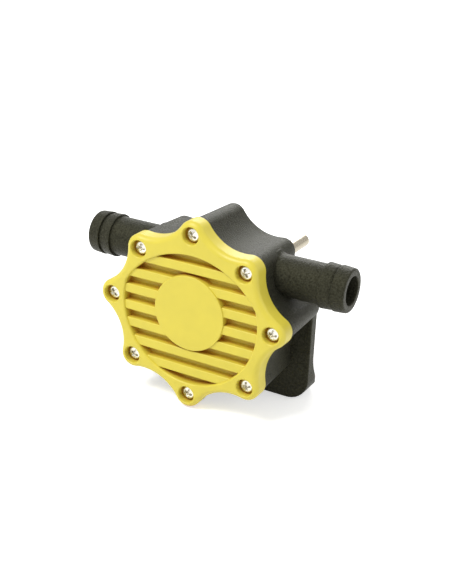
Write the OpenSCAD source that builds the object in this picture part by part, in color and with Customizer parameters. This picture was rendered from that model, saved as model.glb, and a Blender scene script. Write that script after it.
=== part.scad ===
// Drill powered self-priming pump: a lobed housing with two in-line hose tails
// and a foot, a ribbed front cover, and a flexible impeller on a steel shank.
// The shank lies along Y and the hose tails along X. The origin is on the
// underside of the foot, midway between its two screw holes.

/* [Face and lobes] */
// Distance from the recess's edge out to the side and lower side cover screws
screw_out = 5.7; // [5:0.1:8]
// Distance from the recess's edge down to the bottom cover screw
bottom_screw_out = 5.2; // [5:0.1:8]
// Radius from the shaft to the three upper cover screws
upper_screw_r = 30.9; // [30:0.1:34]
// Angle of the upper side screws above the horizontal
upper_angle = 43; // [40:1:46]
// Angle of the lower side screws below the horizontal
lower_angle = 43.5; // [40:0.5:48]
// Radius of each lobe round its screw
lobe_r = 5.8; // [5.4:0.1:6.6]
// Radius of the hollow between two lobes
scallop_r = 18; // [15:1:26]
// Height of the bottom lobe above the bench
lobe_gap = 0.2; // [0.1:0.1:8]

/* [Front cover] */
// Thickness of the cover from its rim to the joint
cover_t = 7.5; // [7:0.1:10]
// Radius of the round part of the recess in the face
recess_r = 29; // [28:0.1:29.5]
// Radius of the flatter crown of the recess, over the cam
crown_r = 33; // [32:0.1:34]
// How far the centre of the crown lies below the shaft
crown_drop = 9.8; // [9:0.1:11]
// How far the ribs lie below the rim
rib_drop = 0.8; // [0.4:0.1:1.5]
// Depth of the grooves below the rim
groove_depth = 4.5; // [3:0.1:5]
// Height of a groove
groove_w = 3.4; // [2.5:0.1:4]
// Distance from groove to groove
groove_pitch = 7; // [6.5:0.1:8]
// How far the middle groove lies above the shaft's height
groove_rise = 0.4; // [0:0.1:1]
// Radius of the plain disc in the middle of the face
disc_r = 15; // [12:0.5:18]
// How far the disc lies below the rim
disc_drop = 0.3; // [0:0.1:1]

/* [Cover screws] */
// Radius of a screw's pan head
head_r = 2.75; // [2.5:0.05:2.9]
// Height of the head
head_t = 1.8; // [1.5:0.1:2]
// Radius over the screw's thread
thread_r = 1.45; // [1.2:0.05:1.6]
// Length under the head
thread_len = 13; // [10:0.5:16]
// Radius of the pocket round a head
pocket_r = 3.6; // [3.3:0.1:3.8]
// Depth of the pocket below the rim
pocket_depth = 3.6; // [3.2:0.1:3.8]

/* [Housing] */
// Depth of the lobed housing behind the joint
housing_t = 27; // [26:0.5:32]
// How far the housing stands in from the cover's edge
seam_step = 0.5; // [0.2:0.1:1]
// How much smaller the chamber is than the recess in the face
chamber_step = 1.5; // [1.3:0.1:2]
// Depth of the pumping chamber
chamber_t = 22; // [21.5:0.1:23]
// Half-width of the cam's land between the two ports
land_half = 13; // [11:0.5:15]

/* [Hose tails] */
// Distance from the shaft to the mouth of each tail
tail_reach = 56; // [54:0.5:65]
// Height of the tails above the shaft
tail_rise = 15.3; // [14.5:0.1:16]
// Distance from the rim of the cover back to the tails
tail_back = 22; // [21:0.1:22.5]
// Radius of the plain tube
tube_r = 7.9; // [7.2:0.1:8]
// Radius over the barbs
barb_r = 8.45; // [8.2:0.05:9]
// Radius of the bore
port_r = 5.5; // [4.5:0.1:5.8]
// Length of the bore, before it narrows a little into the port
bore_len = 26; // [24:1:30]
// Length of one barb
barb_len = 4.5; // [3.5:0.1:5]
// Length of the plain land at the crest of a barb
barb_land = 1.2; // [1:0.1:1.5]

/* [Foot] */
// Width of the foot
foot_w = 75; // [68:1:77]
// Thickness of the upright plate
plate_t = 4; // [3:0.5:5]
// Depth of the flange behind the plate
flange_depth = 10.5; // [10:0.5:16]
// Radius that blends the flange into the plate
flange_blend = 15; // [12:0.5:16]
// Height where the blend leaves the plate
blend_top = 19; // [17:0.5:20]
// Radius of the foot's lower corners
foot_corner = 6.5; // [4:0.5:8]
// Distance between the two screw holes
foot_hole_gap = 50; // [44:1:56]
// Radius of a screw hole
foot_hole_r = 2.25; // [2:0.05:2.6]
// Distance from the plate's back face to the holes
foot_hole_back = 5.5; // [5:0.1:6]

/* [Shaft and bearing] */
// Radius of the steel shank
shaft_r = 3; // [2.9:0.05:3.1]
// Distance from the rim of the cover to the shank's free end
shaft_reach = 100; // [92:1:120]
// Outer radius of the ball bearing
bearing_r = 9.5; // [9:0.1:10]
// Width of the ball bearing
bearing_w = 6; // [5:0.5:7]
// Radius of a ball
ball_r = 1.75; // [1.5:0.05:1.8]
// Number of balls
ball_count = 8; // [6:1:8]
// Outer radius of the lip seal
seal_r = 8; // [7.5:0.1:8.2]
// Width of the lip seal
seal_w = 5; // [4:0.5:6]
// Outer radius of the bearing boss
boss_r = 12; // [11.6:0.1:13]
// Length of the bearing boss behind the housing
boss_len = 20.5; // [20.5:0.5:24]

/* [Impeller] */
// Number of vanes
vane_count = 6; // [5:1:8]
// Thickness of a vane
vane_t = 3; // [2:0.1:3.5]
// Radius of the bead along a vane's tip
bead_r = 1.9; // [1.5:0.1:2.2]
// Outer radius of the hub insert
hub_r = 7; // [6.5:0.1:7.5]
// Thickness of the rubber round the hub
sleeve_t = 2.5; // [2:0.1:3]
// Radius of the drive pin
pin_r = 1; // [0.8:0.1:1.1]

/* [Hidden] */
$fn = 96;
HOUSING_BLACK = "#34332c";
COVER_YELLOW = "#ecdd5d";
// Overrun of every cut past the face that it opens
over = 0.5;
// Running clearance of a turning fit, and the gap of a seated one
run_gap = 0.05;
seat_gap = 0.02;
// Gap left beside a part that turns past a face
side_gap = 0.3;
// How much narrower the port is than the tail's bore
port_step = 0.2;

// Radii of the screws, and the height that keeps the bottom lobe off the bench
screw_r = recess_r + screw_out;
bottom_screw_r = recess_r + bottom_screw_out;
shaft_z = bottom_screw_r + lobe_r + lobe_gap;

// Stations along Y, from the cover's rim to the shank's end
plate_back = cover_t + housing_t;
rim_y = -plate_back - foot_hole_back;
joint_y = rim_y + cover_t;
chamber_y = joint_y + chamber_t;
back_y = rim_y + plate_back;
boss_y = back_y + boss_len;
tail_y = rim_y + tail_back;
shaft_end_y = rim_y + shaft_reach;
flange_y = back_y + flange_depth;

// Bushes and wear discs
disc_t = 0.8;
bush_wall = 2;
bush_r = shaft_r + bush_wall;
bush_len = 4;
shaft_front_y = joint_y - bush_len + side_gap;
rear_bush_len = 4.5;

// Seal, slinger, bearing, rings and shield, one behind the other in the boss
wall_lip = 1;
seal_y = chamber_y + rear_bush_len + wall_lip;
slinger_t = 2;
slinger_room = 1;
slinger_rim_gap = 1.5;
slinger_r = seal_r - slinger_rim_gap;
slinger_y = seal_y + seal_w + slinger_room;
clip_t = 0.8;
clip_w = 2;
clip_r = shaft_r + clip_w;
clip_groove = 0.4;
bearing_room = 1.5;
bearing_y = slinger_y + slinger_t + bearing_room;
bearing_back_y = bearing_y + bearing_w;
ring_t = 1;
ring_bite = 0.6;
ring_w = 1.6;
shield_t = 1.6;
shield_drop = 0.8;
shield_y = boss_y - shield_t - shield_drop;
// Undercut where the ground bearing seat ends, at the mouth of the boss
undercut = 0.3;
undercut_w = 1.3;
undercut_y = boss_y - shield_drop;
weep_r = 1.2;
weep_y = slinger_y + slinger_t / 2;

// Ball bearing rings and cage, from its bore, its outside and its balls
pitch_r = (shaft_r + bearing_r) / 2;
race_r = ball_r + run_gap;
race_lip = 0.3;
inner_race_r = pitch_r - race_r + race_lip;
outer_race_r = pitch_r + race_r - race_lip;
cage_gap = 0.12;
cage_half_t = 0.6;
cage_front = 1.2;
cage_back = 2.7;
cage_pocket_r = ball_r + cage_gap;

// Lip seal section
case_t = 0.8;
lip_seat_r = seal_r - case_t;
lip_room = 1;
lip_neck_r = shaft_r + lip_room;
spring_r = 0.4;

// Cover seal in its groove
seal_cord = 1.6;
seal_offset = 0.3;

// Foot
foot_half = foot_w / 2;
spot_r = 2 * foot_hole_r;
spot_z = 4.2;

// Screws, counted from the right-hand one over the top, as seen from the front
screw_angles = [
    0, upper_angle, 90, 180 - upper_angle, 180, 180 + lower_angle, 270, 360 - lower_angle
];
function screw_reach(a) =
    a == 270 ? bottom_screw_r : a > 0 && a < 180 ? upper_screw_r : screw_r;
function polar(r, a) = [r * cos(a), r * sin(a)];
screws = [for (a = screw_angles) polar(screw_reach(a), a)];
screw_count = len(screws);
seat_y = rim_y + pocket_depth;
pilot_gap = 0.05;
pilot_r = thread_r + pilot_gap;

// The lobed outline: a circle round each screw, and a hollow circle that touches both
// lobes beside it. The hollow bites a little into the lobes, so that they cross cleanly.
// An inset moves the whole outline inwards by the same amount.
bite = 0.02;
function next(i) = (i + 1) % screw_count;
function hollow(i) =
    let (
        a = screws[i],
        b = screws[next(i)],
        half = norm(b - a) / 2,
        out = [b.y - a.y, a.x - b.x] / norm(b - a)
    )
    (a + b) / 2 + out * sqrt(pow(lobe_r + scallop_r, 2) - half * half);
function touch(screw, centre, inset) =
    screw + (centre - screw) * (lobe_r - inset) / (lobe_r + scallop_r);

module lobed_shape(inset) {
    difference() {
        union() {
            polygon([
                for (i = [0:screw_count - 1])
                    each [touch(screws[i], hollow(i), inset), touch(screws[next(i)], hollow(i), inset)]
            ]);
            for (p = screws) translate(p) circle(lobe_r - inset);
        }
        for (i = [0:screw_count - 1])
            translate(hollow(i)) circle(scallop_r + inset + bite);
    }
}

// Flat shapes drawn in X and Z about the shaft, from one place along Y to another
module slab(y_front, y_back) {
    translate([0, y_back, shaft_z]) rotate([90, 0, 0]) linear_extrude(y_back - y_front) children();
}

// A turned piece about the shaft, its section drawn as [radius, distance back]
module turned(y_front) {
    translate([0, y_front, shaft_z]) rotate([-90, 0, 0]) rotate_extrude() children();
}

module washer(y_front, thickness, outer, inner) {
    slab(y_front, y_front + thickness)
        difference() {
            circle(outer);
            circle(inner);
        }
}

// The chamber's section: a circle with a flatter crown over the cam
module chamber_shape(grow) {
    intersection() {
        circle(recess_r + grow);
        translate([0, -crown_drop]) circle(crown_r + grow);
    }
}

module at_each_screw() {
    for (p = screws) translate(p) children();
}

module seal_shape(slack) {
    difference() {
        chamber_shape(seal_offset + seal_cord + slack);
        chamber_shape(seal_offset - slack);
    }
}

// One hose tail along +X: a plain tube, two barbs and a rounded nose
module tail_tube() {
    nose = 1.2;
    root = recess_r - tube_r;
    barb_end = tail_reach - nose;
    step_2 = tail_reach - barb_len;
    step_1 = step_2 - barb_len;
    translate([0, tail_y, shaft_z + tail_rise]) rotate([0, 90, 0]) rotate_extrude()
        polygon([
            [0, root], [tube_r, root], [tube_r, step_1],
            [barb_r, step_1], [barb_r, step_1 + barb_land], [tube_r, step_2],
            [barb_r, step_2], [barb_r, step_2 + barb_land],
            [tube_r - nose / 2, barb_end], [tube_r - nose, tail_reach], [0, tail_reach]
        ]);
}

// The port from the chamber, and the tail's slightly wider bore that meets it
module port_bore() {
    translate([land_half, tail_y, shaft_z + tail_rise]) rotate([0, 90, 0])
        cylinder(r = port_r - port_step, h = tail_reach - land_half);
    translate([tail_reach - bore_len, tail_y, shaft_z + tail_rise]) rotate([0, 90, 0])
        cylinder(r = port_r, h = bore_len + over);
}

module foot_plate_shape() {
    translate([-foot_half, foot_corner]) square([foot_w, shaft_z - foot_corner]);
    translate([foot_corner - foot_half, 0]) square([foot_w - 2 * foot_corner, foot_corner]);
    for (side = [-1, 1])
        translate([side * (foot_half - foot_corner), foot_corner]) circle(foot_corner);
}

// The flange's section in Y and Z, blended up into the plate
module foot_flange() {
    translate([-foot_half, 0, 0]) rotate([90, 0, 90]) linear_extrude(foot_w)
        difference() {
            translate([back_y - plate_t, 0]) square([plate_t + flange_depth, blend_top]);
            translate([back_y + flange_blend, blend_top]) circle(flange_blend);
        }
}

module foot() {
    translate([0, back_y, 0]) rotate([90, 0, 0]) linear_extrude(plate_t) foot_plate_shape();
    intersection() {
        foot_flange();
        translate([0, flange_y, 0]) rotate([90, 0, 0])
            linear_extrude(plate_t + flange_depth) foot_plate_shape();
    }
}

// Four ribs tie the bearing boss to the back of the housing
module boss_ribs() {
    rib_t = 3;
    rib_rise = 8;
    rib_foot = 9;
    for (a = [45:90:315])
        translate([0, back_y, shaft_z]) rotate([0, a, 0]) translate([0, 0, -rib_t / 2])
            linear_extrude(rib_t)
            polygon([
                [boss_r - over, -over], [boss_r + rib_foot, -over], [boss_r + rib_foot, 0],
                [boss_r, rib_rise], [boss_r - over, rib_rise]
            ]);
}

module boss_pockets() {
    washer_y = seal_y - wall_lip;
    slab(chamber_y - over, washer_y) circle(bush_r + seat_gap);
    slab(washer_y - over, seal_y + over) circle(shaft_r + 2 * side_gap);
    slab(seal_y, bearing_y + over) circle(seal_r + seat_gap);
    slab(bearing_y, boss_y + over) circle(bearing_r + seat_gap);
    slab(bearing_back_y, bearing_back_y + ring_t + side_gap)
        circle(bearing_r + ring_bite);
    translate([0, weep_y, shaft_z - boss_r - over]) cylinder(r = weep_r, h = boss_r);
}

module housing() {
    color(HOUSING_BLACK)
    difference() {
        union() {
            slab(joint_y, back_y) lobed_shape(seam_step);
            slab(back_y - over, boss_y) circle(boss_r);
            boss_ribs();
            tail_tube();
            mirror([1, 0, 0]) tail_tube();
            foot();
        }
        slab(joint_y - over, chamber_y) chamber_shape(-chamber_step);
        slab(joint_y - over, joint_y + seal_cord) seal_shape(seat_gap);
        slab(joint_y - over, seat_y + thread_len + over) at_each_screw() circle(pilot_r);
        port_bore();
        mirror([1, 0, 0]) port_bore();
        boss_pockets();
        for (side = [-1, 1])
            translate([side * foot_hole_gap / 2, 0, 0]) {
                translate([0, 0, -over]) cylinder(r = foot_hole_r, h = blend_top);
                translate([0, 0, spot_z]) cylinder(r = spot_r, h = blend_top);
            }
    }
}

// The grooves across the face, one through the shaft's height, cut off by the recess
module groove_shape() {
    rows_down = floor((recess_r + groove_rise) / groove_pitch);
    rows_up = floor((crown_r - crown_drop - groove_rise) / groove_pitch);
    intersection() {
        chamber_shape(0);
        for (k = [-rows_down:rows_up])
            translate([-recess_r, k * groove_pitch + groove_rise - groove_w / 2])
                square([2 * recess_r, groove_w]);
    }
}

module front_cover() {
    color(COVER_YELLOW)
    difference() {
        slab(rim_y, joint_y) lobed_shape(0);
        slab(rim_y - over, rim_y + rib_drop)
            difference() {
                chamber_shape(0);
                circle(disc_r);
            }
        slab(rim_y - over, rim_y + disc_drop) circle(disc_r + over);
        slab(rim_y - over, rim_y + groove_depth)
            difference() {
                groove_shape();
                circle(disc_r);
            }
        slab(rim_y - over, seat_y) at_each_screw() circle(pocket_r);
        slab(seat_y - over, joint_y + over) at_each_screw() circle(pilot_r + pilot_gap);
        slab(joint_y - bush_len, joint_y + over) circle(bush_r + seat_gap);
    }
}

module cover_seal() {
    color("#2a2a28") slab(joint_y, joint_y + seal_cord) seal_shape(0);
}

// One pan-head screw along Y, with a crossed recess in its head
module cover_screw() {
    slot_w = 0.8;
    slot_len = 1.3 * head_r;
    slot_depth = 0.6 * head_t;
    point = 2 * thread_r;
    crown = 0.45 * head_r;
    difference() {
        rotate([-90, 0, 0]) rotate_extrude()
            polygon([
                [0, -head_t], [crown, -head_t], [0.8 * head_r, -0.75 * head_t],
                [head_r, -0.4 * head_t], [head_r, 0], [thread_r, 0],
                [thread_r, thread_len - point], [0, thread_len]
            ]);
        for (turn = [45, 135])
            rotate([0, turn, 0])
                translate([-slot_len / 2, -head_t - over, -slot_w / 2])
                    cube([slot_len, slot_depth + over, slot_w]);
    }
}

module cover_screws() {
    color("silver")
    for (p = screws) translate([p.x, seat_y, shaft_z + p.y]) cover_screw();
}

module wear_disc(y_front) {
    slab(y_front, y_front + disc_t)
        difference() {
            chamber_shape(-chamber_step - side_gap / 2);
            circle(shaft_r + side_gap);
        }
}

module front_wear_disc() {
    color("lightgray") wear_disc(joint_y);
}

module rear_wear_disc() {
    color("lightgray") wear_disc(chamber_y - disc_t);
}

module front_bush() {
    color("#a9824c") washer(joint_y - bush_len, bush_len, bush_r, shaft_r + run_gap);
}

module rear_bush() {
    color("#a9824c") washer(chamber_y, rear_bush_len, bush_r, shaft_r + run_gap);
}

// Pressed steel case of the lip seal, open towards the back
module seal_case() {
    color("silver") turned(seal_y)
        polygon([
            [lip_neck_r + case_t, 0], [seal_r, 0], [seal_r, seal_w],
            [lip_seat_r, seal_w], [lip_seat_r, case_t], [lip_neck_r + case_t, case_t]
        ]);
}

// Rubber lip, bonded inside the case and running on the shank
module seal_lip() {
    lip_y = seal_w / 2;
    lip_edge_r = shaft_r + run_gap;
    lip_fit_r = lip_seat_r - seat_gap;
    color("#26201c") turned(seal_y + case_t)
        difference() {
            polygon([
                [lip_neck_r, 0], [lip_fit_r, 0], [lip_fit_r, case_t],
                [lip_neck_r + case_t, case_t], [lip_neck_r + case_t, lip_y + case_t],
                [lip_neck_r, lip_y + case_t], [lip_edge_r, lip_y], [lip_edge_r, lip_y - spring_r]
            ]);
            translate([lip_neck_r + case_t, lip_y]) circle(spring_r + seat_gap);
        }
}

// Garter spring in the groove round the lip
module seal_spring() {
    color("silver") turned(seal_y + case_t + seal_w / 2)
        translate([lip_neck_r + case_t, 0]) circle(spring_r);
}

module slinger() {
    color("#26201c") washer(slinger_y, slinger_t, slinger_r, shaft_r + seat_gap);
}

module race_ring(inner, outer) {
    difference() {
        translate([inner, 0]) square([outer - inner, bearing_w]);
        translate([pitch_r, bearing_w / 2]) circle(race_r);
    }
}

module bearing_outer_race() {
    color("silver") turned(bearing_y) race_ring(outer_race_r, bearing_r);
}

module bearing_inner_race() {
    color("silver") turned(bearing_y) race_ring(shaft_r + seat_gap, inner_race_r);
}

module bearing_balls() {
    color("white")
    for (i = [0:ball_count - 1])
        translate([0, bearing_y + bearing_w / 2, shaft_z]) rotate([0, i * 360 / ball_count, 0])
            translate([pitch_r, 0, 0]) sphere(ball_r);
}

// Crown cage: a ring behind the balls, open towards the front
module bearing_cage() {
    mid_y = bearing_y + bearing_w / 2;
    color("#a9824c")
    difference() {
        washer(
            mid_y - cage_front, cage_front + cage_back,
            pitch_r + cage_half_t, pitch_r - cage_half_t
        );
        for (i = [0:ball_count - 1])
            translate([0, mid_y, shaft_z]) rotate([0, i * 360 / ball_count, 0])
                translate([pitch_r - 2 * cage_half_t, 0, 0]) rotate([0, 90, 0])
                    cylinder(r = cage_pocket_r, h = 4 * cage_half_t);
    }
}

// Spring ring in the boss, behind the bearing
module bearing_retaining_ring() {
    outer = bearing_r + ring_bite - run_gap;
    gap_w = 2 * ring_w;
    color("dimgray")
    slab(bearing_back_y + run_gap, bearing_back_y + run_gap + ring_t)
        difference() {
            circle(outer);
            circle(outer - ring_w);
            translate([-gap_w / 2, -outer - over]) square([gap_w, outer]);
        }
}

module dust_shield() {
    color("#26201c") washer(shield_y, shield_t, bearing_r, shaft_r + side_gap);
}

// Spring clips on the shank, before and behind the bearing's inner race
module shaft_clips() {
    gap_w = 1.5 * shaft_r;
    color("dimgray")
    for (y = [bearing_y - run_gap - clip_t, bearing_back_y + run_gap])
        slab(y, y + clip_t)
            difference() {
                circle(clip_r);
                circle(shaft_r - clip_groove + seat_gap);
                translate([-gap_w / 2, -clip_r - over]) square([gap_w, clip_r]);
            }
}

module drive_pin() {
    half = hub_r - side_gap;
    color("silver")
    translate([-half, (joint_y + chamber_y) / 2, shaft_z]) rotate([0, 90, 0])
        cylinder(r = pin_r, h = 2 * half);
}

module drive_shaft() {
    chamfer = 0.6;
    clip_slot = clip_t + run_gap;
    color("gainsboro")
    difference() {
        turned(shaft_front_y)
            polygon([
                [0, 0], [shaft_r - chamfer, 0], [shaft_r, chamfer],
                [shaft_r, shaft_end_y - shaft_front_y - chamfer],
                [shaft_r - chamfer, shaft_end_y - shaft_front_y],
                [0, shaft_end_y - shaft_front_y]
            ]);
        for (y = [bearing_y - run_gap - clip_slot, bearing_back_y + run_gap])
            washer(y, clip_slot, shaft_r + over, shaft_r - clip_groove);
        washer(undercut_y, undercut_w, shaft_r + over, shaft_r - undercut);
        translate([-hub_r, (joint_y + chamber_y) / 2, shaft_z]) rotate([0, 90, 0])
            cylinder(r = pin_r + seat_gap, h = 2 * hub_r);
    }
}

// The impeller runs between the two wear discs
impeller_y = joint_y + disc_t + side_gap;
impeller_back_y = chamber_y - disc_t - side_gap;

module impeller_hub() {
    color("#8a8f94")
    difference() {
        washer(impeller_y, impeller_back_y - impeller_y, hub_r, shaft_r + seat_gap);
        translate([-hub_r - over, (joint_y + chamber_y) / 2, shaft_z]) rotate([0, 90, 0])
            cylinder(r = pin_r + seat_gap, h = 2 * (hub_r + over));
    }
}

// Vanes: each is straight where the chamber is round, and bends back under the cam
VANE_SWING = 145;
sleeve_r = hub_r + sleeve_t;
function chamber_wall(a) =
    min(
        recess_r - chamber_step,
        sqrt(pow(crown_r - chamber_step, 2) - pow(crown_drop * cos(a), 2)) - crown_drop * sin(a)
    );
function vane_bend(a) = VANE_SWING * (recess_r - chamber_step - chamber_wall(a)) / recess_r;
function vane_path(a) =
    let (
        tip_a = a + vane_bend(a),
        tip = polar(chamber_wall(tip_a) - bead_r - side_gap, tip_a),
        root = polar(sleeve_r - vane_t / 2, a),
        knee = polar((norm(tip) + sleeve_r) / 2, a + vane_bend(a) / 4)
    )
    [root, knee, tip];

module bar(p, q, width) {
    side = [q.y - p.y, p.x - q.x] / norm(q - p) * width / 2;
    polygon([p + side, q + side, q - side, p - side]);
    translate(p) circle(width / 2);
}

module impeller_vanes() {
    color("#1d1c1a")
    slab(impeller_y, impeller_back_y)
        difference() {
            union() {
                circle(sleeve_r);
                for (i = [0:vane_count - 1]) {
                    path = vane_path(90 + i * 360 / vane_count);
                    bar(path[0], path[1], vane_t);
                    bar(path[1], path[2], 0.8 * vane_t);
                    translate(path[2]) circle(bead_r);
                }
            }
            circle(hub_r + seat_gap);
        }
}

housing();
front_cover();
cover_seal();
cover_screws();
front_wear_disc();
rear_wear_disc();
front_bush();
rear_bush();
seal_case();
seal_lip();
seal_spring();
bearing_outer_race();
bearing_retaining_ring();
dust_shield();
drive_shaft();
impeller_hub();
impeller_vanes();
drive_pin();
shaft_clips();
slinger();
bearing_inner_race();
bearing_cage();
bearing_balls();
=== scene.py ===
from math import acos, atan2, cos, degrees, pi, radians, sin, sqrt

import bmesh
import bpy
from mathutils import Matrix, Vector


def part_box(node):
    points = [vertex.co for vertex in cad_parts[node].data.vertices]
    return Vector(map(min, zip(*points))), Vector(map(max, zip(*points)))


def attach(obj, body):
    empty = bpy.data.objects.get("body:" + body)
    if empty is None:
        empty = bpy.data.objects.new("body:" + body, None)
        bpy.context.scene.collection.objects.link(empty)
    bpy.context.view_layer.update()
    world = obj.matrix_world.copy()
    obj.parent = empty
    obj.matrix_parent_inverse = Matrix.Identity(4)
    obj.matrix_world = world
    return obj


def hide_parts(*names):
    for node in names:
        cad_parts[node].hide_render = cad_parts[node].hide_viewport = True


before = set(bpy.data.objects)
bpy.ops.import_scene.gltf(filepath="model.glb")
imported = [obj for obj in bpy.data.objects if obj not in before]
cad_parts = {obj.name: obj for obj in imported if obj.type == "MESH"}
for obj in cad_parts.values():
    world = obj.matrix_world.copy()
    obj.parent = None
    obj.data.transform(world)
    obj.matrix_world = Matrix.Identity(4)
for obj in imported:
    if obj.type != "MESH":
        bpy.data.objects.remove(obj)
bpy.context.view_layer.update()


# The camera, set to the photograph's viewing angle. It looks down on the pump from the
# front left. Its turn, tilt and roll come from fitting the cover's eight screws, and
# its sensor spans the picture's longer side.

MM = 0.001
PHOTO_HEIGHT = 584
SENSOR = 36
NEAR_CLIP = 10 * MM
focal_px = 1051.7
azimuth, elevation, roll = radians(28.62), radians(22.785), radians(2.456)
distance = 393.96 * MM
aim = Vector((-14.33, -8.35)) * MM

shaft_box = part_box("drive_shaft")
cover_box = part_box("front_cover")
shaft_height = (shaft_box[0].z + shaft_box[1].z) / 2
rim_y = cover_box[0].y
face_centre = Vector((0, rim_y, shaft_height))

backward = Vector((sin(azimuth) * cos(elevation), -cos(azimuth) * cos(elevation), sin(elevation)))
level_right = (-backward).cross(Vector((0, 0, 1))).normalized()
level_up = level_right.cross(-backward)
cam_right = level_right * cos(roll) + level_up * sin(roll)
cam_up = level_up * cos(roll) - level_right * sin(roll)

camera_data = bpy.data.cameras.new("camera")
camera_data.sensor_width = SENSOR
camera_data.lens = SENSOR * focal_px / PHOTO_HEIGHT
camera_data.clip_start = NEAR_CLIP
camera = bpy.data.objects.new("camera", camera_data)
bpy.context.scene.collection.objects.link(camera)
turn = Matrix((cam_right, cam_up, backward)).transposed().to_4x4()
place = face_centre + backward * distance - cam_right * aim.x - cam_up * aim.y
camera.matrix_world = Matrix.Translation(place) @ turn
bpy.context.scene.camera = camera


# The studio: a white floor that keeps a soft shadow, and broad soft boxes. The key
# hangs at the upper left of the camera, a fill stands at the right and one behind.

def linear(code):
    channels = [int(code[i:i + 2], 16) / 255 for i in (1, 3, 5)]
    flat = [c / 12.92 if c <= 0.04045 else ((c + 0.055) / 1.055) ** 2.4 for c in channels]
    return (*flat, 1)


def new_material(name):
    material = bpy.data.materials.new(name)
    material.use_nodes = True
    material.node_tree.nodes.clear()
    return material


def add_node(owner, kind, settings=None, links=None, values=None):
    """One node with its settings, the outputs linked into it, and its inputs' values."""
    node = owner.node_tree.nodes.new(kind)
    for name, value in (settings or {}).items():
        setattr(node, name, value)
    for name, value in (values or {}).items():
        node.inputs[name].default_value = value
    for name, output in (links or {}).items():
        owner.node_tree.links.new(output, node.inputs[name])
    return node


def backdrop_ray(owner):
    """1 on the rays that show the backdrop: straight, mirrored or seen through glass."""
    ray = add_node(owner, "ShaderNodeLightPath").outputs
    mirrored = add_node(
        owner, "ShaderNodeMath", {"operation": "MAXIMUM"},
        {0: ray["Is Camera Ray"], 1: ray["Is Glossy Ray"]})
    any_of_them = add_node(
        owner, "ShaderNodeMath", {"operation": "MAXIMUM"},
        {0: mirrored.outputs[0], 1: ray["Is Transmission Ray"]})
    return any_of_them.outputs[0]


FLOOR_HALF = 3
FLOOR_GLOW = 0.55
floor_mesh = bpy.data.meshes.new("floor")
work = bmesh.new()
bmesh.ops.create_grid(work, x_segments=1, y_segments=1, size=FLOOR_HALF)
work.to_mesh(floor_mesh)
work.free()
floor = bpy.data.objects.new("floor", floor_mesh)
bpy.context.scene.collection.objects.link(floor)
white_floor = new_material("matt white paper sweep")
paper = add_node(white_floor, "ShaderNodeBsdfDiffuse", values={"Color": linear("#f8f8f6")})
lift = add_node(
    white_floor, "ShaderNodeMath", {"operation": "MULTIPLY"},
    {0: backdrop_ray(white_floor)}, {1: FLOOR_GLOW})
glow = add_node(white_floor, "ShaderNodeEmission", links={"Strength": lift.outputs[0]})
both = add_node(
    white_floor, "ShaderNodeAddShader", links={0: paper.outputs[0], 1: glow.outputs[0]})
add_node(white_floor, "ShaderNodeOutputMaterial", links={"Surface": both.outputs[0]})
floor_mesh.materials.append(white_floor)

SOFT_LIGHT = 0.5
world = bpy.data.worlds.new("studio")
bpy.context.scene.world = world
world.use_nodes = True
world.node_tree.nodes.clear()
soft = add_node(
    world, "ShaderNodeBackground", values={"Color": (1, 1, 1, 1), "Strength": SOFT_LIGHT})
white = add_node(
    world, "ShaderNodeBackground", values={"Color": (1, 1, 1, 1), "Strength": 1})
choice = add_node(
    world, "ShaderNodeMixShader",
    links={0: backdrop_ray(world), 1: soft.outputs[0], 2: white.outputs[0]})
add_node(world, "ShaderNodeOutputWorld", links={"Surface": choice.outputs[0]})


def soft_box(name, right, up, near, size, watts):
    """A square lamp, placed from the cover's face as the camera sees it."""
    lamp = bpy.data.lights.new(name, "AREA")
    lamp.shape = "SQUARE"
    lamp.size = size
    lamp.energy = watts
    box = bpy.data.objects.new(name, lamp)
    bpy.context.scene.collection.objects.link(box)
    away = cam_right * right + cam_up * up + backward * near
    aimed = away.to_track_quat("Z", "Y").to_matrix().to_4x4()
    box.matrix_world = Matrix.Translation(face_centre + away) @ aimed


soft_box("key", right=-0.35, up=0.5, near=0.45, size=0.3, watts=4.5)
soft_box("fill", right=0.6, up=0.15, near=0.3, size=0.5, watts=1)
soft_box("rear strip", right=0.15, up=0.5, near=-0.45, size=0.35, watts=1.8)
bpy.context.scene.view_settings.view_transform = "Standard"


# front_cover: the yellow moulded cover that closes the pump's chamber. It is one
# acetal moulding with a rounded rim, ribs cored out from the front, a plain disc
# over the bush, and a pocket for each of its eight screws.

WELD = 0.001 * MM
SHARP = radians(32)
side_reach = 34.7 * MM
top_reach = 30.9 * MM
bottom_reach = 34.2 * MM
lobe_r = 5.5 * MM
lobe_steps = 28
hollow_r = 18 * MM
hollow_steps = 22
cover_t = 7.1 * MM
cover_rounding = 2.3 * MM
recess_r = 29 * MM
crown_r = 33 * MM
crown_drop = 9.8 * MM
recess_steps = 110
crown_steps = 56
rib_drop = 0.8 * MM
groove_rows = range(-4, 4)
groove_w = 3.3 * MM
groove_depth = 4.5 * MM
groove_pitch = 7.02 * MM
groove_rise = 0.4 * MM
groove_clear = 0.02 * MM
groove_lip = 0.45 * MM
groove_root = 0.9 * MM
disc_r = 15 * MM
disc_drop = 0.3 * MM
disc_edge = 0.35 * MM
pocket_r = 3.35 * MM
pocket_depth = 3.6 * MM
pocket_lip = 0.6 * MM
pocket_root = 0.6 * MM
hole_r = 1.6 * MM
overcut = 1 * MM


def on_face(reach, angle):
    """A point on the cover's face, from the shaft's centre."""
    return Vector((reach * cos(radians(angle)), 0, reach * sin(radians(angle))))


screw_places = [
    on_face(side_reach, 0), on_face(top_reach, 43), on_face(top_reach, 90),
    on_face(top_reach, 137), on_face(side_reach, 180), on_face(side_reach, 223.5),
    on_face(bottom_reach, 270), on_face(side_reach, 316.5),
]


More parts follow.
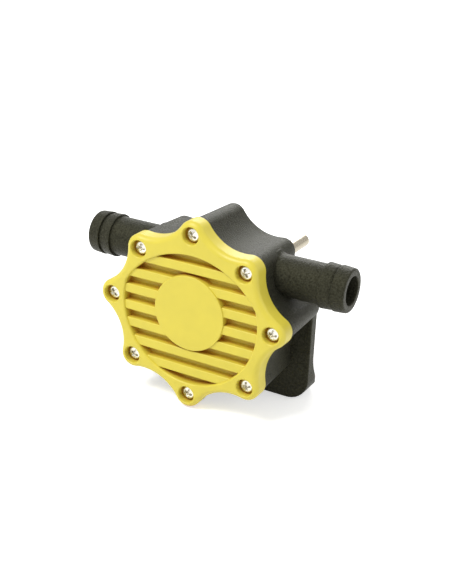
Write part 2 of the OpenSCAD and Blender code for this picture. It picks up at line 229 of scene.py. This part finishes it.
def arc(work, centre, start, turn, steps):
    """A row of edges from start round centre, turning as seen from the front."""
    first = work.verts.new(start)
    bmesh.ops.spin(work, geom=[first], cent=centre, axis=(0, -1, 0), angle=turn, steps=steps)


def fill(work):
    """One face inside the closed row of edges that work holds."""
    bmesh.ops.remove_doubles(work, verts=work.verts, dist=WELD)
    return bmesh.ops.edgeloop_fill(work, edges=work.edges[:])["faces"][0]


def turn_between(start, end):
    """The angle from one direction to the other, anticlockwise from the front."""
    return (atan2(end.z, end.x) - atan2(start.z, start.x)) % (2 * pi)


def lobed_face(work, inset):
    """The outline of cover and housing: a lobe round each screw, hollows between."""
    neighbours = list(zip(screw_places, screw_places[1:] + screw_places[:1]))
    hollows = []
    for a, b in neighbours:
        out = Vector((b.z - a.z, 0, a.x - b.x)).normalized()
        reach = sqrt((lobe_r + hollow_r) ** 2 - ((b - a).length / 2) ** 2)
        hollows.append((a + b) / 2 + out * reach)
    for i, (screw, following) in enumerate(neighbours):
        start, end = hollows[i - 1] - screw, hollows[i] - screw
        begin = screw + start.normalized() * (lobe_r - inset)
        arc(work, screw, begin, turn_between(start, end), lobe_steps)
        start, end = screw - hollows[i], following - hollows[i]
        begin = hollows[i] + start.normalized() * (hollow_r + inset)
        arc(work, hollows[i], begin, -turn_between(end, start), hollow_steps)
    return fill(work)


def chamber_face(work, grow):
    """A circle with a flatter crown, the outline of the recess and of the chamber."""
    radius, crown = recess_r + grow, crown_r + grow
    meet_z = (crown ** 2 - radius ** 2 - crown_drop ** 2) / (2 * crown_drop)
    meet_x = sqrt(radius ** 2 - meet_z ** 2)
    right, left = Vector((meet_x, 0, meet_z)), Vector((-meet_x, 0, meet_z))
    below = Vector((0, 0, -crown_drop))
    arc(work, Vector(), left, turn_between(left, right), recess_steps)
    arc(work, below, right, turn_between(right - below, left - below), crown_steps)
    return fill(work)


def round_face(work, radius, steps=48):
    bmesh.ops.create_circle(
        work, segments=steps, radius=radius, matrix=Matrix.Rotation(pi / 2, 4, "X"))
    return fill(work)


def plate_face(work, half_width, half_height):
    """A rectangle that stands upright and faces the front."""
    upright = Matrix.Rotation(pi / 2, 4, "X")
    bmesh.ops.create_grid(work, x_segments=1, y_segments=1, size=1, matrix=upright)
    bmesh.ops.scale(work, vec=(half_width, 1, half_height), verts=work.verts)
    return work.faces[:][0]


def draw_out(work, face, back, stretch=(1, 1, 1)):
    """Extrudes a face along Y and stretches its new end about the origin."""
    attached = any(len(edge.link_faces) > 1 for edge in face.edges)
    grown = bmesh.ops.extrude_face_region(work, geom=[face])["geom"]
    if attached:
        bmesh.ops.delete(work, geom=[face], context="FACES_ONLY")
    corners = [part for part in grown if isinstance(part, bmesh.types.BMVert)]
    bmesh.ops.scale(work, vec=stretch, verts=corners)
    bmesh.ops.translate(work, vec=(0, back, 0), verts=corners)
    return next(part for part in grown if isinstance(part, bmesh.types.BMFace))


def flare(work, face, radius, size, along=(1, 0, 1), steps=5):
    """Ends a cutter in a rounded flare, so that what it cuts has a rounded lip."""
    now = size
    for i in range(steps):
        a, b = pi / 2 * i / steps, pi / 2 * (i + 1) / steps
        wider = size + radius * (1 - cos(b))
        stretch = [wider / now if axis else 1 for axis in along]
        face = draw_out(work, face, -radius * (sin(b) - sin(a)), stretch)
        now = wider
    return draw_out(work, face, -overcut)


def shift(work, vector):
    bmesh.ops.translate(work, vec=vector, verts=work.verts)


def solid(name, work):
    """A finished mesh as an object, moved to the shaft's centre on the cover's face."""
    bmesh.ops.remove_doubles(work, verts=work.verts, dist=WELD)
    bmesh.ops.translate(work, vec=face_centre, verts=work.verts)
    bmesh.ops.recalc_face_normals(work, faces=work.faces)
    mesh = bpy.data.meshes.new(name)
    work.to_mesh(mesh)
    work.free()
    piece = bpy.data.objects.new(name, mesh)
    bpy.context.scene.collection.objects.link(piece)
    return piece


def combine(piece, tool, operation="DIFFERENCE"):
    """Cuts the tool out of the piece, or joins it on, and removes the tool."""
    modifier = piece.modifiers.new("combine", "BOOLEAN")
    modifier.object = tool
    modifier.operation = operation
    modifier.solver = "EXACT"
    shaped = bpy.data.meshes.new_from_object(
        piece.evaluated_get(bpy.context.evaluated_depsgraph_get()))
    piece.modifiers.clear()
    piece.data = shaped
    bpy.data.objects.remove(tool)


def smooth(piece, sharp=SHARP):
    """Smooth shading that keeps the corners and leaves flat faces flat."""
    piece.data.shade_smooth()
    piece.data.set_sharp_from_angle(angle=sharp)
    modifier = piece.modifiers.new("face weighted normals", "WEIGHTED_NORMAL")
    modifier.keep_sharp = True
    modifier.weight = 90


def same_z(edge):
    return abs(edge.verts[0].co.z - edge.verts[1].co.z) < WELD


def same_x(edge):
    return abs(edge.verts[0].co.x - edge.verts[1].co.x) < WELD


def edges_at(work, y):
    return [e for e in work.edges if all(abs(v.co.y - y) < WELD for v in e.verts)]


def front_face(work):
    """The face of a cutter that lies nearest the front, where its flare starts."""
    return min(work.faces, key=lambda face: face.calc_center_median().y)


def rounded(work, edges, radius, steps):
    bmesh.ops.bevel(
        work, geom=list(edges), offset=radius, segments=steps, profile=0.5,
        affect="EDGES", material=-1, clamp_overlap=True)


work = bmesh.new()
draw_out(work, lobed_face(work, 0), cover_t)
rounded(work, edges_at(work, 0), cover_rounding, 8)
cover = solid("cover", work)

work = bmesh.new()
recess = chamber_face(work, 0)
shift(work, (0, rib_drop, 0))
flare(work, recess, rib_drop, recess_r)
combine(cover, solid("recess tool", work))

work = bmesh.new()
draw_out(work, chamber_face(work, -groove_clear), groove_depth)
within = solid("groove bounds", work)
slots = bmesh.new()
for row in groove_rows:
    work = bmesh.new()
    mouth = plate_face(work, recess_r + overcut, groove_w / 2)
    shift(work, (0, rib_drop + groove_lip, 0))
    draw_out(work, mouth, groove_depth - rib_drop - groove_lip)
    rounded(work, filter(same_z, edges_at(work, groove_depth)), groove_root, 5)
    flare(work, front_face(work), groove_lip, groove_w / 2, along=(0, 0, 1), steps=4)
    shift(work, (0, 0, groove_rise + row * groove_pitch))
    part = bpy.data.meshes.new("slot")
    work.to_mesh(part)
    work.free()
    slots.from_mesh(part)
    bpy.data.meshes.remove(part)
grooves = solid("groove tool", slots)
combine(grooves, within, "INTERSECT")
combine(cover, grooves)

pockets = bmesh.new()
holes = bmesh.new()
for place in screw_places:
    work = bmesh.new()
    mouth = round_face(work, pocket_r)
    shift(work, (0, pocket_lip, 0))
    draw_out(work, mouth, pocket_depth - pocket_lip)
    rounded(work, edges_at(work, pocket_depth), pocket_root, 4)
    flare(work, front_face(work), pocket_lip, pocket_r)
    shift(work, place)
    part = bpy.data.meshes.new("pocket")
    work.to_mesh(part)
    work.free()
    pockets.from_mesh(part)
    work = bmesh.new()
    mouth = round_face(work, hole_r, 24)
    shift(work, (0, pocket_depth - overcut, 0))
    draw_out(work, mouth, cover_t)
    shift(work, place)
    work.to_mesh(part)
    work.free()
    holes.from_mesh(part)
    bpy.data.meshes.remove(part)
combine(cover, solid("pocket tool", pockets))
combine(cover, solid("hole tool", holes))

work = bmesh.new()
draw_out(work, round_face(work, disc_r, 120), groove_depth + overcut - disc_drop)
shift(work, (0, disc_drop, 0))
rounded(work, edges_at(work, disc_drop), disc_edge, 4)
combine(cover, solid("disc", work), "UNION")
smooth(cover)


# How far walls are felt for the painted shade in deep places, and the openness at
# which that painted shade is full and gone, from 0 in a closed hole to 1 on open ground
PAINTED_SHADE_REACH = 5 * MM
FULL_SHADE_OPENNESS = 0.1
NO_SHADE_OPENNESS = 0.46
GLOSS_SPREAD = 0.06
PLASTIC_IOR = 1.48


def plastic(
        name, code, roughness, grain_mm, grain_depth, mottle_mm, mottle,
        painted_shade=None, shine=0.5, cast="#ffffff"):
    """A moulded plastic or rubber: a tint that drifts, a moulded grain, and soft gloss.

    The real grain is about 0.1 mm. It is drawn as coarse as it needs to show. Deep
    places are given a painted shade: their colour is mixed towards a darker colour,
    which stands in for the shade there and for the light that bounces about in them.
    """
    material = new_material(name)
    place = add_node(material, "ShaderNodeTexCoord").outputs["Object"]
    drift = add_node(
        material, "ShaderNodeTexNoise", links={"Vector": place},
        values={"Scale": 1 / (mottle_mm * MM), "Detail": 2, "Roughness": 0.6})
    tint = add_node(material, "ShaderNodeValToRGB", links={"Fac": drift.outputs["Fac"]})
    base = Vector(linear(code)[:3])
    tint.color_ramp.elements[0].position = 0.3
    tint.color_ramp.elements[0].color = (*(base * (1 - mottle)), 1)
    tint.color_ramp.elements[1].position = 0.7
    tint.color_ramp.elements[1].color = (*(base * (1 + mottle)), 1)
    grain = add_node(
        material, "ShaderNodeTexNoise", links={"Vector": place},
        values={"Scale": 1 / (grain_mm * MM), "Detail": 3})
    bump = add_node(
        material, "ShaderNodeBump", links={"Height": grain.outputs["Fac"]},
        values={"Strength": 0.5, "Distance": grain_depth * MM})
    gloss = add_node(
        material, "ShaderNodeMapRange", links={"Value": drift.outputs["Fac"]},
        values={"To Min": roughness - GLOSS_SPREAD, "To Max": roughness + GLOSS_SPREAD})
    colour = tint.outputs[0]
    # Painted shade: ambient occlusion finds the deep places, and the colour there is mixed
    # towards the darker painted shade colour
    if painted_shade:
        openness = add_node(
            material, "ShaderNodeAmbientOcclusion", {"samples": 12},
            values={"Distance": PAINTED_SHADE_REACH})
        # The mask of the painted shade: 0 where the painted shade is full, 1 where there is none
        depth = add_node(
            material, "ShaderNodeMapRange", links={"Value": openness.outputs["AO"]},
            values={"From Min": FULL_SHADE_OPENNESS, "From Max": NO_SHADE_OPENNESS})
        painted_shade_mix = add_node(
            material, "ShaderNodeMixRGB",
            links={"Fac": depth.outputs[0], "Color2": colour},
            values={"Color1": linear(painted_shade)})
        colour = painted_shade_mix.outputs[0]
    surface = add_node(
        material, "ShaderNodeBsdfPrincipled",
        links={"Base Color": colour, "Normal": bump.outputs[0], "Roughness": gloss.outputs[0]},
        values={"IOR": PLASTIC_IOR, "Specular IOR Level": shine, "Specular Tint": linear(cast)})
    add_node(material, "ShaderNodeOutputMaterial", links={"Surface": surface.outputs[0]})
    return material


# Acetal, injection moulded: a warm lemon yellow with a satin skin from the tool, and an
# orange brown painted shade in its grooves, pockets and other deep places
yellow_acetal = plastic(
    "moulded yellow acetal with painted shade", "#d5c544", roughness=0.42, grain_mm=0.35, grain_depth=0.02,
    mottle_mm=9, mottle=0.03, painted_shade="#b87a26")
cover.data.materials.append(yellow_acetal)
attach(cover, "pump_body")
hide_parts("front_cover")


# cover_screws: eight zinc-plated self-tapping screws with Phillips pan heads. They are
# driven through the pockets in the cover into plain pilot holes in the housing.

head_r = 2.75 * MM
head_t = 1.8 * MM
dome_r = 1.9 * head_r
shoulder_r = 0.9 * MM
shoulder_drop = 1.1 * MM
thread_r = 1.45 * MM
core_r = 1.05 * MM
thread_len = 13 * MM
thread_pitch = 1.1 * MM
thread_start = 0.4 * MM
thread_tip = 2.6 * MM
slot_w = 1.05 * MM
slot_reach = 2 * MM
slot_lift = 0.3 * MM
driver_depth = 1.3 * MM
driver_widening = (2.4, 1, 1.9)
driver_turns = [12, -25, 40, 8, -38, 30, 20, -10]


def turned(work, outline, steps=48):
    """Spins an outline of (radius, distance back) points round the Y axis."""
    points = [work.verts.new((r, y, 0)) for r, y in outline]
    edges = [work.edges.new(pair) for pair in zip(points, points[1:])]
    bmesh.ops.spin(
        work, geom=points + edges, cent=(0, 0, 0), axis=(0, 1, 0),
        angle=2 * pi, steps=steps, use_merge=True)
    bmesh.ops.remove_doubles(work, verts=work.verts, dist=WELD)


def arc_points(centre, radius, first, last, steps):
    """Points along an arc, in an outline of (radius, distance back) points."""
    angles = [first + (last - first) * i / steps for i in range(steps + 1)]
    return [
        (centre[0] + radius * cos(radians(a)), centre[1] + radius * sin(radians(a)))
        for a in angles
    ]


all_screws = bmesh.new()
for place, turn_degrees in zip(screw_places, driver_turns):
    work = bmesh.new()
    dome = arc_points((0, dome_r - head_t), dome_r, -90, -72, 5)
    shoulder = arc_points(
        (head_r - shoulder_r, shoulder_drop - head_t), shoulder_r, -70, 0, 6)
    ridges = []
    y = thread_start
    while y < thread_len - thread_tip:
        ridges += [
            (core_r, y), (thread_r, y + 0.4 * thread_pitch), (core_r, y + 0.8 * thread_pitch)]
        y += thread_pitch
    turned(work, dome + shoulder + [(head_r, 0), (core_r, 0)] + ridges + [(0, thread_len)])
    screw = solid("screw", work)
    for arm in (0, 90):
        work = bmesh.new()
        bottom = plate_face(work, 0.45 * slot_reach, 0.3 * slot_w)
        shift(work, (0, driver_depth - head_t, 0))
        draw_out(work, bottom, -driver_depth - slot_lift, driver_widening)
        bmesh.ops.rotate(work, verts=work.verts, matrix=Matrix.Rotation(radians(arm), 3, "Y"))
        combine(screw, solid("driver arm", work))
    turned_by = Matrix.Rotation(radians(turn_degrees), 4, "Y")
    to_centre = Matrix.Translation(face_centre)
    seat = Matrix.Translation(place + Vector((0, pocket_depth, 0)))
    screw.data.transform(to_centre @ seat @ turned_by @ to_centre.inverted())
    all_screws.from_mesh(screw.data)
    bpy.data.objects.remove(screw)
mesh = bpy.data.meshes.new("screws")
all_screws.to_mesh(mesh)
all_screws.free()
screws = bpy.data.objects.new("screws", mesh)
bpy.context.scene.collection.objects.link(screws)
smooth(screws, radians(38))


def metal(name, code, roughness, scratch_mm, scratch_depth, spread=0.08, stretch=(1, 1, 1)):
    """A bare or plated metal: faint tool marks, drawn coarse, and an uneven gloss."""
    material = new_material(name)
    place = add_node(material, "ShaderNodeTexCoord").outputs["Object"]
    along = add_node(material, "ShaderNodeMapping", links={"Vector": place})
    along.inputs["Scale"].default_value = stretch
    marks = add_node(
        material, "ShaderNodeTexNoise", links={"Vector": along.outputs[0]},
        values={"Scale": 1 / (scratch_mm * MM), "Detail": 4})
    bump = add_node(
        material, "ShaderNodeBump", links={"Height": marks.outputs["Fac"]},
        values={"Strength": 0.4, "Distance": scratch_depth * MM})
    gloss = add_node(
        material, "ShaderNodeMapRange", links={"Value": marks.outputs["Fac"]},
        values={"To Min": roughness - spread, "To Max": roughness + spread})
    surface = add_node(
        material, "ShaderNodeBsdfPrincipled",
        links={"Normal": bump.outputs[0], "Roughness": gloss.outputs[0]},
        values={"Base Color": linear(code), "Metallic": 1})
    add_node(material, "ShaderNodeOutputMaterial", links={"Surface": surface.outputs[0]})
    return material


# Zinc plate on a cold-headed steel screw: bright, a little uneven and faintly warm
zinc_plate = metal(
    "bright zinc plate", "#d9d6cc", roughness=0.28, scratch_mm=0.5, scratch_depth=0.01)
screws.data.materials.append(zinc_plate)
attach(screws, "pump_body")
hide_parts("cover_screws")


# housing: the black body, one moulding of glass-filled nylon. It holds the chamber,
# carries a hose tail on each side, and stands on a foot that flares into a flange.

seam_step = 0.5 * MM
seam_edge = 0.3 * MM
back_edge = 1.2 * MM
housing_t = 27.4 * MM
taper = 0.972
back_y = cover_t + housing_t

work = bmesh.new()
back_face = draw_out(work, lobed_face(work, seam_step), housing_t, (taper, 1, taper))
rounded(work, back_face.edges[:], back_edge, 4)
rounded(work, edges_at(work, 0), seam_edge, 2)
shift(work, (0, cover_t, 0))
housing = solid("housing_body", work)

# The two hose tails, with a fillet at the body and two barbs at the mouth
tail_start = 12 * MM
tail_root = 25.5 * MM
tail_fillet = 2.5 * MM
tail_reach = 56 * MM
tail_rise = 15.3 * MM
tail_back = 22 * MM
tube_r = 7.9 * MM
barb_r = 8.8 * MM
barb_len = 5.2 * MM
barb_edge = 0.3 * MM
barb_slope = 0.25 * MM
barb_undercut = 0.1 * MM
barb_run = 0.2 * MM
mouth_edge = 0.9 * MM
port_r = 5.5 * MM
port_core = 5 * MM


def stand_out(work, side):
    """Turns a shape made round Y so that it points out to one side, as a tail does."""
    outwards = Matrix.Rotation(-side * pi / 2, 4, "Z")
    bmesh.ops.transform(work, matrix=outwards, verts=work.verts)
    shift(work, (0, tail_back, tail_rise))


tail = [(0, tail_start), (tube_r + 0.6 * tail_fillet, tail_start)]
tail += arc_points((tube_r + tail_fillet, tail_root + tail_fillet), tail_fillet, 246, 180, 10)
for step in (tail_reach - 2 * barb_len, tail_reach - barb_len):
    tail += [(tube_r, step - barb_run), (tube_r + barb_undercut, step)]
    tail += arc_points((barb_r - barb_edge, step + barb_edge), barb_edge, -90, 0, 4)
    tail += [(barb_r - barb_slope, step + 0.75 * barb_len)]
mouth_centre = (barb_r - barb_edge - mouth_edge, tail_reach - mouth_edge)
tail += arc_points(mouth_centre, mouth_edge, 0, 90, 6)
tail += [(port_r, tail_reach), (port_core, tail_reach), (0, tail_reach)]
for side in (1, -1):
    work = bmesh.new()
    turned(work, tail, 96)
    bmesh.ops.holes_fill(work, edges=work.edges)
    stand_out(work, side)
    combine(housing, solid("hose tail", work), "UNION")

# The foot: an upright plate that curves out backwards into a flange for two screws
foot_half = 37.5 * MM
foot_corner = 9 * MM
plate_t = 4 * MM
plate_edge = 0.5 * MM
flange_deep = 10.5 * MM
flange_blend = 15 * MM
blend_top = 19 * MM
plan_corner = 9 * MM
plan_deep = back_y + flange_deep


def foot_block(front, depth):
    """A block as wide as the foot and as high as the shaft, its lower corners rounded."""
    work = bmesh.new()
    front_plate = plate_face(work, foot_half, shaft_height / 2)
    shift(work, (0, front, -shaft_height / 2))
    draw_out(work, front_plate, depth)
    low = [e for e in work.edges if all(v.co.z < WELD - shaft_height for v in e.verts)]
    rounded(work, filter(same_x, low), foot_corner, 12)
    return work


def extrude_flat(work, outline, along):
    """A solid with the same outline all along, such as a rib."""
    work.faces.new([work.verts.new(corner) for corner in outline])
    grown = bmesh.ops.extrude_face_region(work, geom=work.faces[:])["geom"]
    ends = [part for part in grown if isinstance(part, bmesh.types.BMVert)]
    bmesh.ops.translate(work, vec=along, verts=ends)


work = foot_block(back_y - plate_t, plate_t)
rounded(work, edges_at(work, back_y - plate_t), plate_edge, 3)
combine(housing, solid("foot plate", work), "UNION")

blend_centre = (back_y + flange_blend, blend_top - shaft_height)
tip_angle = 180 + degrees(acos((flange_blend - flange_deep) / flange_blend))
section = [
    (back_y - 0.5 * plate_t, -shaft_height), (plan_deep, -shaft_height),
    *arc_points(blend_centre, flange_blend, tip_angle, 180, 24),
    (back_y - 0.5 * plate_t, blend_top - shaft_height),
]
work = bmesh.new()
extrude_flat(work, [(-foot_half, y, z) for y, z in section], (2 * foot_half, 0, 0))
flange = solid("foot flange", work)
front_bounds = foot_block(back_y - plate_t, plate_t + flange_deep)
combine(flange, solid("flange front", front_bounds), "INTERSECT")
work = bmesh.new()
bmesh.ops.create_cube(work, size=1)
bmesh.ops.scale(work, vec=(2 * foot_half, plan_deep, 3 * blend_top), verts=work.verts)
shift(work, (0, plan_deep / 2, -shaft_height))
rear = [e for e in work.edges if all(v.co.y > plan_deep - WELD for v in e.verts)]
rounded(work, filter(same_x, rear), plan_corner, 12)
combine(flange, solid("flange plan", work), "INTERSECT")
combine(housing, flange, "UNION")

# The bearing boss on the back, stiffened by four ribs
boss_r = 12 * MM
boss_len = 20.5 * MM
boss_edge = 0.8 * MM
boss_end = back_y + boss_len
rib_t = 3 * MM
rib_edge = 0.5 * MM
rib_bury = 1 * MM
rib_inner = 8 * MM
rib_outer = 21 * MM
rib_rise = 8 * MM

work = bmesh.new()
turned(work, [
    (0, back_y - overcut), (boss_r, back_y - overcut),
    *arc_points((boss_r - boss_edge, boss_end - boss_edge), boss_edge, 0, 90, 5),
    (0, boss_end),
], 96)
combine(housing, solid("bearing boss", work), "UNION")
for angle in (45, 135, 225, 315):
    work = bmesh.new()
    extrude_flat(work, [
        (rib_inner, -rib_bury, 0), (rib_outer, -rib_bury, 0), (rib_outer, 0, 0),
        (boss_r, rib_rise, 0), (rib_inner, rib_rise, 0),
    ], (0, 0, rib_t))
    shift(work, (0, back_y, -rib_t / 2))
    bmesh.ops.recalc_face_normals(work, faces=work.faces)
    slopes = [
        e for e in work.edges
        if e.verts[0].co.z * e.verts[1].co.z > 0
        and all(v.co.y >= back_y - WELD for v in e.verts)
    ]
    rounded(work, slopes, rib_edge, 3)
    bmesh.ops.rotate(work, verts=work.verts, matrix=Matrix.Rotation(radians(angle), 3, "Y"))
    combine(housing, solid("boss rib", work), "UNION")

# What is bored and cored out: the bearing's seat, the chamber, the ports, the foot holes
bush_seat_r = 5 * MM
bush_seat_deep = 5.5 * MM
seal_seat_r = 8 * MM
seal_seat_deep = 0.5 * MM
bearing_r = 9.5 * MM
bearing_floor = 10 * MM
bore_chamfer = 0.4 * MM
chamber_depth = 22 * MM
chamber_step = 1.5 * MM
port_start = 13 * MM
port_edge = 0.5 * MM
foot_hole_r = 2.25 * MM
foot_hole_x = 25 * MM
foot_hole_back = 5.5 * MM
spot_r = 4.5 * MM
spot_floor = 4.2 * MM

work = bmesh.new()
turned(work, [
    (0, back_y - bush_seat_deep), (bush_seat_r, back_y - bush_seat_deep),
    (bush_seat_r, back_y - seal_seat_deep), (seal_seat_r, back_y - seal_seat_deep),
    (seal_seat_r, back_y + bearing_floor), (bearing_r, back_y + bearing_floor),
    (bearing_r, boss_end - bore_chamfer), (bearing_r + bore_chamfer, boss_end),
    (bearing_r + bore_chamfer, boss_end + overcut), (0, boss_end + overcut),
], 96)
combine(housing, solid("boss bore", work))
work = bmesh.new()
draw_out(work, chamber_face(work, -chamber_step), chamber_depth + overcut)
shift(work, (0, cover_t - overcut, 0))
combine(housing, solid("chamber", work))
for side in (1, -1):
    work = bmesh.new()
    turned(work, [
        (0, port_start), (port_r, port_start),
        *arc_points((port_r + port_edge, tail_reach - port_edge), port_edge, 180, 90, 4),
        (port_r + port_edge, tail_reach + overcut), (0, tail_reach + overcut),
    ], 72)
    stand_out(work, side)
    combine(housing, solid("port", work))
    work = bmesh.new()
    turned(work, [
        (0, -overcut), (foot_hole_r, -overcut), (foot_hole_r, spot_floor),
        (spot_r, spot_floor), (spot_r, blend_top), (0, blend_top),
    ], 48)
    bmesh.ops.transform(work, matrix=Matrix.Rotation(pi / 2, 4, "X"), verts=work.verts)
    shift(work, (side * foot_hole_x, back_y + foot_hole_back, -shaft_height))
    combine(housing, solid("foot hole", work))
smooth(housing)

# Nylon with glass fibre: near black with an olive cast, dull, with a fine swirled grain
black_nylon = plastic(
    "moulded glass-filled black nylon", "#2d2d25", roughness=0.46, grain_mm=0.6,
    grain_depth=0.7, mottle_mm=0.7, mottle=0.62, shine=0.2, cast="#d9d3a2")
housing.data.materials.append(black_nylon)
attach(housing, "pump_body")
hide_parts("housing")


# drive_shaft: the 6 mm steel shank. It is ground and nickel plated, chamfered inside
# and rounded at the drill's end. Its two grooves hold the clips on each side of the
# bearing, and a shallow undercut ends its ground seat at the mouth of the boss.

shaft_r = 3 * MM
shaft_front = 3.8 * MM
shaft_reach = 100 * MM
clip_grooves = (43.6 * MM, 50.55 * MM)
clip_slot = 0.85 * MM
clip_bite = 0.4 * MM
undercut_y = 54.2 * MM
undercut_len = 1.3 * MM
undercut_bite = 0.3 * MM
end_chamfer = 0.6 * MM

outline = [(0, shaft_front), (shaft_r - end_chamfer, shaft_front)]
outline += [(shaft_r, shaft_front + end_chamfer)]
for start in clip_grooves:
    outline += [(shaft_r, start), (shaft_r - clip_bite, start)]
    outline += [(shaft_r - clip_bite, start + clip_slot), (shaft_r, start + clip_slot)]
outline += [
    (shaft_r, undercut_y),
    (shaft_r - undercut_bite, undercut_y + undercut_bite),
    (shaft_r - undercut_bite, undercut_y + undercut_len - undercut_bite),
    (shaft_r, undercut_y + undercut_len),
]
outline += arc_points((shaft_r - end_chamfer, shaft_reach - end_chamfer), end_chamfer, 0, 90, 4)
outline += [(0, shaft_reach)]
work = bmesh.new()
turned(work, outline, 96)
shank = solid("shank", work)
smooth(shank)

# Nickel over ground steel: a warm silver, with fine rings left by the grinding wheel
nickel_steel = metal(
    "ground nickel-plated steel", "#a69e8c", roughness=0.26, scratch_mm=0.35,
    scratch_depth=0.006, stretch=(0.15, 1, 0.15))
shank.data.materials.append(nickel_steel)
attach(shank, "rotor")
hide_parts("drive_shaft")


# The pieces inside: their shapes are right as they are, so each is only given its
# finish. Rubber ones are moulded nitrile, the bearing's cage is nylon, and the rest
# are pressed, turned, sintered or ground metal.

def rubber(name, code, roughness):
    return plastic(name, code, roughness, 0.3, 0.02, 4, 0.1)


nitrile = rubber("moulded black nitrile rubber", "#201f1d", 0.62)
inner_finishes = {
    "cover_seal": nitrile,
    "seal_lip": nitrile,
    "slinger": nitrile,
    "dust_shield": nitrile,
    "impeller_vanes": rubber("smooth black impeller rubber", "#1b1b1a", 0.5),
    "front_wear_disc": metal("rolled stainless sheet", "#b9b8b3", 0.32, 0.4, 0.005),
    "front_bush": metal("sintered bronze", "#a8814d", 0.5, 0.2, 0.03),
    "seal_case": metal("pressed steel", "#a9a9a8", 0.35, 0.6, 0.01),
    "seal_spring": metal("drawn spring wire", "#9b9c9e", 0.3, 0.2, 0.01),
    "bearing_outer_race": metal("ground bearing steel", "#c4c5c7", 0.14, 0.3, 0.003),
    "bearing_retaining_ring": metal("phosphated spring steel", "#4c4c4e", 0.45, 0.3, 0.01),
    "impeller_hub": metal("turned aluminium", "#b3b5b6", 0.36, 0.3, 0.02),
    "bearing_cage": plastic("moulded nylon cage", "#c2b184", 0.45, 0.3, 0.01, 3, 0.04),
    "drive_pin": nickel_steel,
}
same_finish = {
    "rear_wear_disc": "front_wear_disc",
    "rear_bush": "front_bush",
    "bearing_inner_race": "bearing_outer_race",
    "bearing_balls": "bearing_outer_race",
    "shaft_clips": "bearing_retaining_ring",
}
for name, other in same_finish.items():
    inner_finishes[name] = inner_finishes[other]
for name, finish in inner_finishes.items():
    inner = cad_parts[name]
    inner.data.materials.clear()
    inner.data.materials.append(finish)
